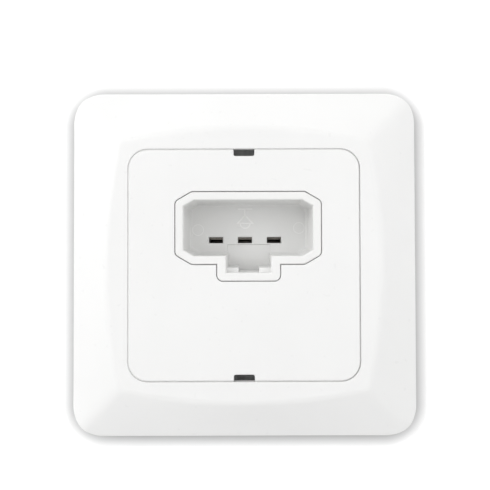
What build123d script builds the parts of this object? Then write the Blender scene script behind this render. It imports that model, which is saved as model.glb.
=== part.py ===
from build123d import *
import os
from math import atan, degrees, hypot, tan

# Flush luminaire outlet for a round wall box: a cover frame round a centre plate, and a shallow socket for a
# flat three-blade luminaire plug. X runs to the right, Z up and +Y into the wall. The origin lies on the wall
# plane, midway between the two box screws.

# Cover frame: rounded square, straight outer edge, sloped band and a flat face with a bulged crease
FRAME_SIDE = 85.0
FRAME_CORNER_R = 7.5
FRAME_RISE = 8.5
FRAME_EDGE_H = 3.5
FRAME_WALL = 1.8
FRAME_EDGE_BEVEL = 0.35
CREASE_HALF = 33.1
CREASE_BULGE = 3.4
CREASE_CORNER_R = 2.0
CREASE_FILLET = 3.4
HIP_R = 2.2
LEDGE_W = 2.2
LEDGE_T = 1.5
RIB_T = 1.2
RIB_OFFSET = 13.0
RIB_CLEARANCE = 0.3

# Centre plate: drops into the frame's opening and rests on its ledge
PLATE_SIDE = 55.3
PLATE_CORNER_R = 4.6
PLATE_WALL = 1.8
PLATE_SKIRT = 1.5
PLATE_DEPTH = 3.0
PLATE_GAP = 0.2
PLATE_EDGE_BEVEL = 0.2
NOTCH_W = 5.0
NOTCH_H = 1.55
NOTCH_R = 0.5
PLATE_RIM_T = 1.2
PLATE_RIM_H = 1.6

# Plug recess: chamfered rectangle with a keyway below, off the plate's centre line
RECESS_X = 1.0
RECESS_W = 31.05
RECESS_TOP = 15.55
RECESS_H = 13.4
RECESS_CHAMFER_X = 2.5
RECESS_CHAMFER_Z = 1.45
RECESS_DEPTH = 12.5
RECESS_DRAFT = 0.15
RECESS_BEVEL = 0.25
RECESS_FOOT = 0.5
KEY_X = 1.1
KEY_W = 10.75
KEY_DROP = 4.0
COLLAR_WALL = 1.98
COLLAR_KEY_WALL = 2.22
COLLAR_CORNER_R = 1.4
COLLAR_GAP = 0.15
COLLAR_EDGE_BEVEL = 0.2
SHOULDER_W = 2.88
SHOULDER_H = 1.1
SHOULDER_BACK = 2.0
CHANNEL_W = 11.4
CHANNEL_TOP = 4.75
CHANNEL_DEPTH = 0.25
FLOOR_T = 2.0

# Blade slots in the floor of the recess, centred on the plate
SLOT_PITCH = 7.65
SLOT_W = 3.7
SLOT_H = 1.55
SLOT_Z = 5.92
SLOT_BEVEL = 0.2

# Housing behind the plate
FLANGE_W = 51.0
FLANGE_H = 42.0
FLANGE_T = 1.6
FLANGE_CORNER_R = 3.0
BODY_W = 46.0
BODY_H = 37.0
BODY_CHAMFER = 7.0
BODY_WALL = 1.6
BODY_DEPTH = 6.5
BOSS_INSET_X = 6.0
BOSS_INSET_Z = 7.5
BOSS_R = 3.0
PRESS_RIB_W = 1.8
PRESS_RIB_H = 2.0

# Support frame: stamped steel sheet that the box screws hold on the wall
SHEET_T = 1.0
SHEET_SIDE = 71.0
SHEET_CORNER_R = 6.0
SHEET_FOLD_H = 2.0
SHEET_FOLD_LENGTH = 46.0
WINDOW_CLEARANCE = 0.3
BOX_SCREW_SPACING = 60.0
BOX_SLOT_W = 3.8
BOX_SLOT_LENGTH = 7.0
WALL_HOLE_SPREAD = 55.0
WALL_HOLE_R = 1.8
LUG_W = 12.0
LUG_H = 5.2
LUG_Z = 24.6
LUG_WINDOW_W = 9.4
LUG_WINDOW_H = 2.2
LUG_GAP = 0.8
LUG_CLEARANCE = 0.1
BEND_R = 0.5

# Snap hooks on the plate
HOOK_W = 2.4
HOOK_T = 1.2
HOOK_SPREAD = 6.4
HOOK_BARB = 0.8

# Contacts, springs and box clamps, one set for each blade slot
CONTACT_T = 0.8
CONTACT_W = 4.4
CONTACT_SHOW = 0.62
CONTACT_SETBACK = 0.3
CONTACT_REACH = 11.0
CONTACT_BEND_R = 0.9
TONGUE_DROP = 17.4
SPRING_T = 0.35
SPRING_W = 3.6
SPRING_PRELOAD_GAP = 0.8
SPRING_SAG = 1.4
SPRING_LEG = 3.4
SPRING_CREST = 3.85
CAGE_WALL = 0.65
CAGE_HEIGHT = 6.0
CAGE_SIDE_CLEARANCE = 0.1
CAGE_THREAD_WALL = 1.5
CAGE_TIP_GAP = 1.4
WIRE_SPACE = 4.0
WIRE_HOLE_R = 1.9
WIRE_FUNNEL = 0.5

# Terminal base: closes the housing from behind
BASE_PLATE_T = 2.0
BASE_LIP_T = 1.2
BASE_LIP_H = 1.5
BASE_LIP_CLEARANCE = 0.15
BAY_W = 6.2
BAY_CEILING_T = 2.4
BAY_FLOOR_T = 2.4
BAY_DEPTH_BELOW = 3.4
BAY_CLEARANCE = 0.2
BLOCK_SIDE_WALL = 1.75
BLOCK_REAR_WALL = 2.0
BLOCK_FILLET = 1.0
BLOCK_REAR_BEVEL = 0.6

# Screws
SCREW_HEAD_H = 1.5
SCREW_HEAD_R = 2.6
SCREW_HEAD_BEVEL = 0.5
SCREW_SLOT_W = 0.8
SCREW_SLOT_LENGTH = 3.4
SCREW_SLOT_DEPTH = 0.8
FLANGE_SCREW_R = 1.45
FLANGE_SCREW_INSET = 3.0
FLANGE_SCREW_TIP = 2.0
EXTRUDED_WALL = 0.8
EXTRUDED_H = 1.2
BASE_SCREW_R = 1.3
BASE_SCREW_GRIP = 5.0
CLAMP_SCREW_R = 1.6
SCREW_HOLE_CLEARANCE = 0.3

# How near a point counts as being on a face or line
NEAR = 0.01

# Places along Y, from the front backwards
FACE_Y = -FRAME_RISE
EDGE_Y = -FRAME_EDGE_H
PLATE_BACK_Y = FACE_Y + PLATE_WALL
SEAT_Y = FACE_Y + PLATE_DEPTH
FLANGE_BACK_Y = -SHEET_T
FLANGE_FRONT_Y = FLANGE_BACK_Y - FLANGE_T
FLOOR_Y = FACE_Y + RECESS_DEPTH
FLOOR_BACK_Y = FLOOR_Y + FLOOR_T
CONTACT_FRONT_Y = FLOOR_BACK_Y + CONTACT_SETBACK
TONGUE_Y = CONTACT_FRONT_Y + CONTACT_REACH - CONTACT_T
TONGUE_BACK_Y = TONGUE_Y + CONTACT_T
CAGE_FRONT_Y = TONGUE_Y - WIRE_SPACE - CAGE_WALL
CAGE_THREAD_Y = TONGUE_BACK_Y + CAGE_TIP_GAP
CAGE_BACK_Y = CAGE_THREAD_Y + CAGE_THREAD_WALL
BAY_BACK_Y = CAGE_BACK_Y + BAY_CLEARANCE * 2
BLOCK_BACK_Y = BAY_BACK_Y + BLOCK_REAR_WALL

# Places along Z
RECESS_BOTTOM = RECESS_TOP - RECESS_H
KEY_BOTTOM = RECESS_BOTTOM - KEY_DROP
BOSS_X = BODY_W / 2 - BOSS_INSET_X
BOSS_Z = BOSS_INSET_Z - BODY_H / 2
CONTACT_Z = SLOT_Z + SLOT_H / 2 - CONTACT_SHOW
CONTACT_TOP_Z = CONTACT_Z + CONTACT_T
TONGUE_TIP_Z = CONTACT_TOP_Z - TONGUE_DROP
CAGE_BOTTOM_Z = TONGUE_TIP_Z + BAY_CLEARANCE
CAGE_MID_Z = CAGE_BOTTOM_Z + CAGE_HEIGHT / 2
BAY_BOTTOM_Z = TONGUE_TIP_Z - BAY_DEPTH_BELOW
BLOCK_TOP_Z = CONTACT_TOP_Z + BAY_CEILING_T
BLOCK_BOTTOM_Z = BAY_BOTTOM_Z - BAY_FLOOR_T
WIRE_Y = TONGUE_Y - WIRE_SPACE / 2
FLANGE_SCREW_X = FLANGE_W / 2 - FLANGE_SCREW_INSET
FLANGE_SCREW_Z = FLANGE_H / 2 - FLANGE_SCREW_INSET

POLES = {"live": -SLOT_PITCH, "earth": 0.0, "neutral": SLOT_PITCH}


def at_y(y):
    """Plane across the wall at depth y, seen from the front: its x is X and its y is Z."""
    return Plane(origin=(0, y, 0), x_dir=(1, 0, 0), z_dir=(0, -1, 0))


def prism(outline, front_y, back_y):
    """Straight solid of an outline drawn in X and Z, between two depths."""
    return extrude(at_y(back_y) * outline, amount=back_y - front_y)


def side_prism(outline, mid_x, width):
    """Straight solid of a profile drawn in Y and Z, centred on mid_x."""
    plane = Plane(origin=(mid_x - width / 2, 0, 0), x_dir=(0, 1, 0), z_dir=(1, 0, 0))
    return extrude(plane * outline, amount=width)


def rod(x, z, radius, front_y, back_y):
    """Round bar along Y."""
    return prism(Pos(x, z) * Circle(radius), front_y, back_y)


def funnel(outline, front_y, depth):
    """Cutter for a 45 degree bevel round a mouth. The outline is the mouth's widest section, at its front."""
    return extrude(at_y(front_y) * outline, amount=-depth, taper=45)


def box_between(x_span, y_span, z_span):
    """Block given by its spans."""
    outline = Pos((x_span[0] + x_span[1]) / 2, (z_span[0] + z_span[1]) / 2) * Rectangle(
        x_span[1] - x_span[0], z_span[1] - z_span[0])
    return prism(outline, y_span[0], y_span[1])


def rounded_square(side, radius):
    return RectangleRounded(side, side, radius)


def at_depth(edges, y):
    """The edges that lie wholly at one depth."""
    return edges.filter_by_position(Axis.Y, y - NEAR, y + NEAR)


def crease_outline(half, bulge, radius):
    """Square of four outward arcs, with rounded corners."""
    corner = half - bulge
    sides = [
        ThreePointArc((-corner, -corner), (0, -half), (corner, -corner)),
        ThreePointArc((corner, -corner), (half, 0), (corner, corner)),
        ThreePointArc((corner, corner), (0, half), (-corner, corner)),
        ThreePointArc((-corner, corner), (-half, 0), (-corner, -corner)),
    ]
    face = make_face(sides)
    return fillet(face.vertices(), radius)


def dome(crease_half, face_y, edge_half, edge_y, corner_r):
    """Flat face inside the crease, sloped bands with rounded hips, and straight sides down to the wall."""
    crease = at_y(face_y) * crease_outline(crease_half, CREASE_BULGE, CREASE_CORNER_R)
    edge = at_y(edge_y) * rounded_square(2 * edge_half, HIP_R)
    slopes = loft([crease.face(), edge.face()], ruled=True)
    skirt = prism(Rectangle(2 * edge_half, 2 * edge_half), edge_y, 0)
    return (slopes + skirt) & prism(rounded_square(2 * edge_half, corner_r), face_y, 0)


def rim_edges(shape, half, corner_r):
    """The closed line where the sloped bands meet the straight sides."""
    corner_mid = half - corner_r

    def on_side(vertex):
        x = abs(vertex.X)
        z = abs(vertex.Z)
        from_corner = hypot(max(x - corner_mid, 0), max(z - corner_mid, 0))
        return max(x, z) - corner_mid > 0 and abs(from_corner - corner_r) < NEAR

    rim = [edge for edge in shape.edges().filter_by_position(Axis.Y, FACE_Y + FRAME_WALL, EDGE_Y + NEAR)
           if all(on_side(vertex) for vertex in edge.vertices())]
    return ShapeList(rim)


def cover_frame():
    half = FRAME_SIDE / 2
    slope = (EDGE_Y - FACE_Y) / (half - CREASE_HALF)
    slope_angle = atan(slope)
    outer = dome(CREASE_HALF, FACE_Y, half, EDGE_Y, FRAME_CORNER_R)
    outer = chamfer(rim_edges(outer, half, FRAME_CORNER_R), FRAME_EDGE_BEVEL)
    outer = fillet(at_depth(outer.edges(), FACE_Y), CREASE_FILLET)

    # The hollow follows the outside at the wall thickness
    inner_crease = CREASE_HALF - FRAME_WALL * tan(slope_angle / 2)
    inner_half = half - FRAME_WALL
    inner_edge_y = FACE_Y + FRAME_WALL + (inner_half - inner_crease) * slope
    hollow = dome(inner_crease, FACE_Y + FRAME_WALL, inner_half, inner_edge_y, FRAME_CORNER_R - FRAME_WALL)
    opening = PLATE_SIDE + 2 * PLATE_GAP
    opening_r = PLATE_CORNER_R + PLATE_GAP
    ledge_side = opening - 2 * LEDGE_W
    ledge_back = SEAT_Y + LEDGE_T
    shell = outer - hollow

    # Wall round the opening, and ribs from it to the outer wall; both root halfway into the shell
    root = FRAME_WALL / 2
    shell += prism(rounded_square(opening + 2 * FRAME_WALL, opening_r + FRAME_WALL), FACE_Y + root, ledge_back)
    rib_back = -SHEET_T - SHEET_FOLD_H - RIB_CLEARANCE
    rib_profile = make_face(Polyline(
        (opening / 2 + root, FACE_Y + root),
        (CREASE_HALF, FACE_Y + root),
        (half - root, EDGE_Y - root * slope + root),
        (half - root, rib_back),
        (opening / 2 + root, rib_back),
        close=True,
    ))
    for rib_z in (-RIB_OFFSET, RIB_OFFSET):
        rib = extrude(Pos(0, 0, rib_z - RIB_T / 2) * rib_profile, amount=RIB_T)
        for turn in range(4):
            shell += rib.rotate(Axis.Y, 90 * turn)
    shell -= prism(rounded_square(opening, opening_r), FACE_Y, SEAT_Y)
    shell -= prism(rounded_square(ledge_side, opening_r - LEDGE_W), SEAT_Y, ledge_back)

    # Gaps in the ledge and its wall, behind the two release notches
    gap_w = LUG_W + 2 * LUG_GAP
    gap_top = opening / 2 + FRAME_WALL
    for side in (1, -1):
        span = sorted((side * (ledge_side / 2 - LUG_GAP), side * gap_top))
        shell -= box_between((-gap_w / 2, gap_w / 2), (FACE_Y + FRAME_WALL, ledge_back), span)
    return shell


def recess_octagon(grow=0.0):
    """Chamfered rectangle of the recess, grown by an even margin."""
    x = RECESS_W / 2
    z = RECESS_H / 2
    flat_x = x - RECESS_CHAMFER_X
    flat_z = z - RECESS_CHAMFER_Z
    outline = Polygon((x, -flat_z), (x, flat_z), (flat_x, z), (-flat_x, z),
                      (-x, flat_z), (-x, -flat_z), (-flat_x, -z), (flat_x, -z))
    if grow:
        outline = offset(outline, amount=grow, kind=Kind.INTERSECTION)
    return Pos(RECESS_X, RECESS_TOP - RECESS_H / 2) * outline


def keyway_slab(side=0.0, below=0.0, corner_r=0.0):
    """Rectangle of the keyway, which runs up into the recess, grown sideways and downwards."""
    top = RECESS_TOP - RECESS_H / 2
    foot = KEY_BOTTOM - below
    width = KEY_W + 2 * side
    slab = RectangleRounded(width, top - foot, corner_r) if corner_r else Rectangle(width, top - foot)
    return Pos(KEY_X, (top + foot) / 2) * slab


def recess_outline(grow=0.0):
    """Mouth of the plug recess: chamfered rectangle with its keyway."""
    return recess_octagon(grow) + keyway_slab(grow, grow)


def collar_outline(grow=0.0):
    """Outside of the wall round the recess, with rounded corners."""
    octagon = recess_octagon(COLLAR_WALL)
    keyway = keyway_slab(COLLAR_KEY_WALL, COLLAR_WALL, COLLAR_CORNER_R)
    outline = fillet(octagon.vertices(), COLLAR_CORNER_R) + keyway
    return offset(outline, amount=grow, kind=Kind.ARC) if grow else outline


def snap_hook(side, x):
    """Springy leg behind the plate, with a barb that catches in a lug's window."""
    lug_inner = LUG_Z
    leg_out = lug_inner - LUG_CLEARANCE
    window_front = FLANGE_BACK_Y - LUG_H + LUG_GAP
    window_back = window_front + LUG_WINDOW_H
    profile = make_face(Polyline(
        (PLATE_BACK_Y, leg_out - HOOK_T),
        (PLATE_BACK_Y, leg_out),
        (window_front + LUG_CLEARANCE, leg_out),
        (window_front + LUG_CLEARANCE, leg_out + HOOK_BARB),
        (window_back - LUG_CLEARANCE, leg_out),
        (window_back - LUG_CLEARANCE, leg_out - HOOK_T),
        close=True,
    ))
    hook = side_prism(profile, x, HOOK_W)
    return hook if side > 0 else hook.mirror(Plane.XY)


def centre_plate():
    half = PLATE_SIDE / 2
    plate = prism(rounded_square(PLATE_SIDE, PLATE_CORNER_R), FACE_Y, SEAT_Y)
    plate = chamfer(at_depth(plate.edges(), FACE_Y), PLATE_EDGE_BEVEL)
    inner = PLATE_SIDE - 2 * PLATE_SKIRT
    plate -= prism(rounded_square(inner, PLATE_CORNER_R - PLATE_SKIRT), PLATE_BACK_Y, SEAT_Y)
    plate += prism(collar_outline(COLLAR_GAP + PLATE_RIM_T), FACE_Y + PLATE_EDGE_BEVEL, PLATE_BACK_Y + PLATE_RIM_H)
    for side in (1, -1):
        notch = RectangleRounded(NOTCH_W, 2 * NOTCH_H, NOTCH_R)
        plate -= prism(Pos(0, side * half) * notch, FACE_Y, SEAT_Y)
        for x in (-HOOK_SPREAD / 2, HOOK_SPREAD / 2):
            plate += snap_hook(side, x)
    plate -= prism(collar_outline(COLLAR_GAP), FACE_Y, PLATE_BACK_Y + PLATE_RIM_H)
    return plate


def body_outline(grow=0.0):
    """Chamfered rectangle that passes through the support frame, grown outwards by an even margin."""
    outline = Rectangle(BODY_W, BODY_H)
    outline = chamfer(outline.vertices(), BODY_CHAMFER)
    return offset(outline, amount=grow, kind=Kind.INTERSECTION) if grow else outline


def outlet_housing():
    flange = prism(RectangleRounded(FLANGE_W, FLANGE_H, FLANGE_CORNER_R), FLANGE_FRONT_Y, FLANGE_BACK_Y)
    shell = prism(body_outline(), FLANGE_BACK_Y, BODY_DEPTH)
    shell -= prism(body_outline(-BODY_WALL), FLANGE_BACK_Y, BODY_DEPTH)
    collar = prism(collar_outline(), FACE_Y, FLOOR_BACK_Y)
    collar = chamfer(at_depth(collar.edges(), FACE_Y), COLLAR_EDGE_BEVEL)
    housing = flange + shell + collar
    for side in (1, -1):
        housing += rod(side * BOSS_X, BOSS_Z, BOSS_R, FLANGE_BACK_Y, BODY_DEPTH)
    for x in POLES.values():
        rib_top = CONTACT_Z - SPRING_LEG
        housing += box_between((x - PRESS_RIB_W / 2, x + PRESS_RIB_W / 2),
                               (FLOOR_BACK_Y, TONGUE_Y - SPRING_T), (rib_top - PRESS_RIB_H, rib_top))

    taper = degrees(atan(RECESS_DRAFT / RECESS_DEPTH))
    cavity = extrude(at_y(FACE_Y) * recess_octagon(), amount=-RECESS_DEPTH, taper=taper)
    cavity = chamfer(at_depth(cavity.edges(), FLOOR_Y), RECESS_FOOT)
    cavity += prism(keyway_slab(), FACE_Y, FLOOR_Y)
    cavity += funnel(recess_outline(RECESS_BEVEL), FACE_Y, RECESS_BEVEL)
    floor_outline = recess_octagon(-RECESS_DRAFT - RECESS_FOOT) + keyway_slab()
    channel_h = CHANNEL_TOP - KEY_BOTTOM
    channel = Pos(KEY_X, CHANNEL_TOP - channel_h / 2) * Rectangle(CHANNEL_W, channel_h)
    cavity += prism(channel & floor_outline, FLOOR_Y, FLOOR_Y + CHANNEL_DEPTH)
    for side in (1, -1):
        key_wall = KEY_X + side * KEY_W / 2
        span = sorted((key_wall, key_wall - side * SHOULDER_W))
        cavity -= box_between(span, (FACE_Y + SHOULDER_BACK, FLOOR_BACK_Y), (KEY_BOTTOM, KEY_BOTTOM + SHOULDER_H))
    housing -= cavity
    for x in POLES.values():
        housing -= prism(Pos(x, SLOT_Z) * Rectangle(SLOT_W, SLOT_H), FLOOR_Y, FLOOR_BACK_Y)
        slot_mouth = Pos(x, SLOT_Z) * Rectangle(SLOT_W + 2 * SLOT_BEVEL, SLOT_H + 2 * SLOT_BEVEL)
        housing -= funnel(slot_mouth, FLOOR_Y, SLOT_BEVEL)
    for side in (1, -1):
        housing -= rod(side * BOSS_X, BOSS_Z, BASE_SCREW_R, BODY_DEPTH - BASE_SCREW_GRIP, BODY_DEPTH)
        housing -= rod(-side * FLANGE_SCREW_X, side * FLANGE_SCREW_Z, FLANGE_SCREW_R + SCREW_HOLE_CLEARANCE,
                       FLANGE_FRONT_Y, FLANGE_BACK_Y)
    return housing


def bent_strip(root, height):
    """Section of sheet that runs along the wall to a bend and stands up from it, with the bend's far side at 0."""
    mid_r = BEND_R + SHEET_T / 2
    path = FilletPolyline(
        (-root, -SHEET_T / 2),
        (-SHEET_T / 2, -SHEET_T / 2),
        (-SHEET_T / 2, -SHEET_T - height),
        radius=mid_r,
    )
    return trace(path, line_width=SHEET_T)


def support_frame():
    sheet = prism(rounded_square(SHEET_SIDE, SHEET_CORNER_R), -SHEET_T, 0)
    sheet -= prism(body_outline(WINDOW_CLEARANCE), -SHEET_T, 0)
    for side in (1, -1):
        slot = SlotOverall(BOX_SLOT_LENGTH, BOX_SLOT_W)
        sheet -= prism(Pos(side * BOX_SCREW_SPACING / 2, 0) * slot, -SHEET_T, 0)

        # Catch lug folded forwards out of the sheet, with its window
        bend_root = SHEET_T + BEND_R
        blank = sorted((side * BODY_H / 2, side * (LUG_Z + bend_root)))
        sheet -= box_between((-LUG_W / 2 - LUG_GAP, LUG_W / 2 + LUG_GAP), (-SHEET_T, 0), blank)
        lug = Plane(origin=(-side * LUG_W / 2, 0, side * LUG_Z), x_dir=(0, 0, -side), z_dir=(side, 0, 0))
        sheet += extrude(lug * bent_strip(2 * bend_root, LUG_H), amount=LUG_W)
        catch_front = FLANGE_BACK_Y - LUG_H + LUG_GAP
        lug_span = sorted((side * LUG_Z, side * (LUG_Z + SHEET_T)))
        sheet -= box_between((-LUG_WINDOW_W / 2, LUG_WINDOW_W / 2), (catch_front, catch_front + LUG_WINDOW_H), lug_span)

        # Turned edge that stiffens the sheet
        edge_x = SHEET_SIDE / 2
        fold_span = (-SHEET_FOLD_LENGTH / 2, SHEET_FOLD_LENGTH / 2)
        sheet -= box_between(sorted((side * edge_x, side * (edge_x - bend_root))), (-SHEET_T, 0), fold_span)
        fold = Plane(origin=(side * edge_x, 0, -side * SHEET_FOLD_LENGTH / 2), x_dir=(side, 0, 0), z_dir=(0, 0, side))
        sheet += extrude(fold * bent_strip(2 * bend_root, SHEET_FOLD_H), amount=SHEET_FOLD_LENGTH)

        # Extruded collar for a flange screw
        x = -side * FLANGE_SCREW_X
        z = side * FLANGE_SCREW_Z
        sheet += rod(x, z, FLANGE_SCREW_R + EXTRUDED_WALL, -SHEET_T, EXTRUDED_H)
        sheet -= rod(x, z, FLANGE_SCREW_R, -SHEET_T, EXTRUDED_H)
        for side_x in (1, -1):
            sheet -= rod(side_x * WALL_HOLE_SPREAD / 2, side * WALL_HOLE_SPREAD / 2, WALL_HOLE_R, -SHEET_T, 0)
    return sheet


def contact(x):
    """Bent brass strip: the leaf that the blade lies on, and the tongue that carries the clamp."""
    path = FilletPolyline(
        (CONTACT_FRONT_Y, CONTACT_TOP_Z - CONTACT_T / 2),
        (TONGUE_Y + CONTACT_T / 2, CONTACT_TOP_Z - CONTACT_T / 2),
        (TONGUE_Y + CONTACT_T / 2, TONGUE_TIP_Z),
        radius=CONTACT_BEND_R,
    )
    return side_prism(trace(path, line_width=CONTACT_T), x, CONTACT_W)


def contact_spring(x):
    """Steel leaf that lies on the tongue and bows up under the blade."""
    leg_y = TONGUE_Y - SPRING_T / 2
    crest_z = CONTACT_Z - SPRING_PRELOAD_GAP - SPRING_T / 2
    low_z = crest_z - SPRING_SAG
    crest_y = CONTACT_FRONT_Y + SPRING_CREST
    path = FilletPolyline(
        (leg_y, CONTACT_Z - SPRING_LEG - PRESS_RIB_H),
        (leg_y, low_z),
        (crest_y, crest_z),
        (CONTACT_FRONT_Y, low_z),
        radius=CONTACT_BEND_R,
    )
    return side_prism(trace(path, line_width=SPRING_T), x, SPRING_W)


def terminal_cage(x):
    """Box clamp: draws the wire against the tongue as its screw is turned."""
    outer_w = BAY_W - 2 * CAGE_SIDE_CLEARANCE
    z_span = (CAGE_BOTTOM_Z, CAGE_BOTTOM_Z + CAGE_HEIGHT)
    cage = box_between((x - outer_w / 2, x + outer_w / 2), (CAGE_FRONT_Y, CAGE_BACK_Y), z_span)
    inner = outer_w / 2 - CAGE_WALL
    cage -= box_between((x - inner, x + inner), (CAGE_FRONT_Y + CAGE_WALL, CAGE_THREAD_Y), z_span)
    cage -= rod(x, CAGE_MID_Z, CLAMP_SCREW_R, CAGE_THREAD_Y, CAGE_BACK_Y)
    return cage


def screw(x, z, radius, head_seat_y, tip_y):
    """Round-head screw along Y with a cross slot. The head lies on the far side of its seat from the tip."""
    way = 1 if tip_y > head_seat_y else -1
    crown_y = head_seat_y - way * SCREW_HEAD_H
    slot_y = crown_y + way * SCREW_SLOT_DEPTH
    head = rod(x, z, SCREW_HEAD_R, min(head_seat_y, crown_y), max(head_seat_y, crown_y))
    head = chamfer(at_depth(head.edges(), crown_y), SCREW_HEAD_BEVEL)
    shank = rod(x, z, radius, min(head_seat_y, tip_y), max(head_seat_y, tip_y))
    cross = Rectangle(SCREW_SLOT_LENGTH, SCREW_SLOT_W) + Rectangle(SCREW_SLOT_W, SCREW_SLOT_LENGTH)
    return head + shank - prism(Pos(x, z) * cross, min(crown_y, slot_y), max(crown_y, slot_y))


def terminal_base():
    plate_back = BODY_DEPTH + BASE_PLATE_T
    base = prism(body_outline(), BODY_DEPTH, plate_back)
    lip = BODY_WALL + BASE_LIP_CLEARANCE
    ring = body_outline(-lip) - body_outline(-lip - BASE_LIP_T) - collar_outline(BASE_LIP_CLEARANCE)
    base += prism(ring, BODY_DEPTH - BASE_LIP_H, BODY_DEPTH)
    for side in (1, -1):
        base -= rod(side * BOSS_X, BOSS_Z, BOSS_R + BASE_LIP_CLEARANCE, BODY_DEPTH - BASE_LIP_H, BODY_DEPTH)

    block_half = SLOT_PITCH + BAY_W / 2 + BLOCK_SIDE_WALL
    block = box_between((-block_half, block_half), (BODY_DEPTH, BLOCK_BACK_Y), (BLOCK_BOTTOM_Z, BLOCK_TOP_Z))
    block = fillet(block.edges().filter_by(Axis.Y), BLOCK_FILLET)
    block = chamfer(at_depth(block.edges(), BLOCK_BACK_Y), BLOCK_REAR_BEVEL)
    base += block

    shoulder_z = TONGUE_TIP_Z
    pocket_top = CAGE_BOTTOM_Z + CAGE_HEIGHT + BAY_CLEARANCE
    bay = make_face(Polyline(
        (BODY_DEPTH, CONTACT_TOP_Z),
        (TONGUE_BACK_Y, CONTACT_TOP_Z),
        (TONGUE_BACK_Y, pocket_top),
        (BAY_BACK_Y, pocket_top),
        (BAY_BACK_Y, shoulder_z),
        (TONGUE_BACK_Y + BAY_CLEARANCE, shoulder_z),
        (TONGUE_BACK_Y + BAY_CLEARANCE, BAY_BOTTOM_Z),
        (BODY_DEPTH, BAY_BOTTOM_Z),
        close=True,
    ))
    for x in POLES.values():
        base -= side_prism(bay, x, BAY_W)
        base -= rod(x, CAGE_MID_Z, SCREW_HEAD_R + SCREW_HOLE_CLEARANCE, BAY_BACK_Y, BLOCK_BACK_Y)
        mouth = Pos(x, WIRE_Y, BLOCK_BOTTOM_Z)
        base -= mouth * Cylinder(WIRE_HOLE_R, BAY_FLOOR_T, align=(Align.CENTER, Align.CENTER, Align.MIN))
        base -= mouth * Cone(WIRE_HOLE_R + WIRE_FUNNEL, WIRE_HOLE_R, WIRE_FUNNEL,
                             align=(Align.CENTER, Align.CENTER, Align.MIN))
    for side in (1, -1):
        base -= rod(side * BOSS_X, BOSS_Z, BASE_SCREW_R + SCREW_HOLE_CLEARANCE, BODY_DEPTH, plate_back)
    return base


def all_parts():
    parts = {
        "cover_frame": cover_frame(),
        "centre_plate": centre_plate(),
        "outlet_housing": outlet_housing(),
        "support_frame": support_frame(),
        "terminal_base": terminal_base(),
    }
    for pole, x in POLES.items():
        parts[f"contact_{pole}"] = contact(x)
        parts[f"contact_spring_{pole}"] = contact_spring(x)
        parts[f"terminal_cage_{pole}"] = terminal_cage(x)
        parts[f"terminal_screw_{pole}"] = screw(x, CAGE_MID_Z, CLAMP_SCREW_R,
                                                BAY_BACK_Y + BAY_CLEARANCE, TONGUE_BACK_Y)
    for name, side in (("left", 1), ("right", -1)):
        parts[f"flange_screw_{name}"] = screw(-side * FLANGE_SCREW_X, side * FLANGE_SCREW_Z, FLANGE_SCREW_R,
                                              FLANGE_FRONT_Y, FLANGE_SCREW_TIP)
        parts[f"base_screw_{name}"] = screw(-side * BOSS_X, BOSS_Z, BASE_SCREW_R,
                                            BODY_DEPTH + BASE_PLATE_T, BODY_DEPTH - BASE_SCREW_GRIP)
    return parts


os.makedirs("parts", exist_ok=True)
for node, solid in all_parts().items():
    export_step(solid, f"parts/{node}.step")
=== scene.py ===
import logging
from dataclasses import dataclass, field
from enum import Enum
from math import cos, hypot, pi, radians, sin
from typing import Optional, Sequence

import bmesh
import bpy
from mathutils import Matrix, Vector


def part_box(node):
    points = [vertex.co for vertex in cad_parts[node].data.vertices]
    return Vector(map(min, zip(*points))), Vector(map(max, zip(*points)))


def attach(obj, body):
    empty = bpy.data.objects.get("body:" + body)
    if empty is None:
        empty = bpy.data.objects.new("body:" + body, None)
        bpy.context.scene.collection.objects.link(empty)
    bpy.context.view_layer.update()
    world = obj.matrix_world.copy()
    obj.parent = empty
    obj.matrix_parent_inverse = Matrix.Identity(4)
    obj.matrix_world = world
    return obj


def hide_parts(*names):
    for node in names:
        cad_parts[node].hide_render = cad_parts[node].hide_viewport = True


# Looks for a flush luminaire outlet: white cover frame and centre plate, plug recess with three blade slots,
# and the clamps, screws and base behind it. X runs right, Z up and +Y into the wall. Sizes are in metres.

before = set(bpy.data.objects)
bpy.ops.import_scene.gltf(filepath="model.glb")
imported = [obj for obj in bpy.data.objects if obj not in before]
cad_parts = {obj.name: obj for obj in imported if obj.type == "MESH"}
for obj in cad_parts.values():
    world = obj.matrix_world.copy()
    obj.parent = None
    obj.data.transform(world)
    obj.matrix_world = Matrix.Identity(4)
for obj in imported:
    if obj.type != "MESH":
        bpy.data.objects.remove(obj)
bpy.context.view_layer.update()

log = logging.getLogger("luminaire_outlet")
MM = 0.001
NODE_STEP = 220

# Sockets of a Mix node that are for colours: its two inputs and its output.
MIX_FIRST = 6
MIX_SECOND = 7
MIX_RESULT = 2

Colour = tuple[float, float, float]
Point = tuple[float, float]


class Pole(Enum):
    """The three ways of the outlet, by the word that its nodes end in."""

    LIVE = "live"
    EARTH = "earth"
    NEUTRAL = "neutral"


class Facing(Enum):
    """Which way a moulded mark stands out: to the room or to the wall."""

    ROOM = -1
    WALL = 1


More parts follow.
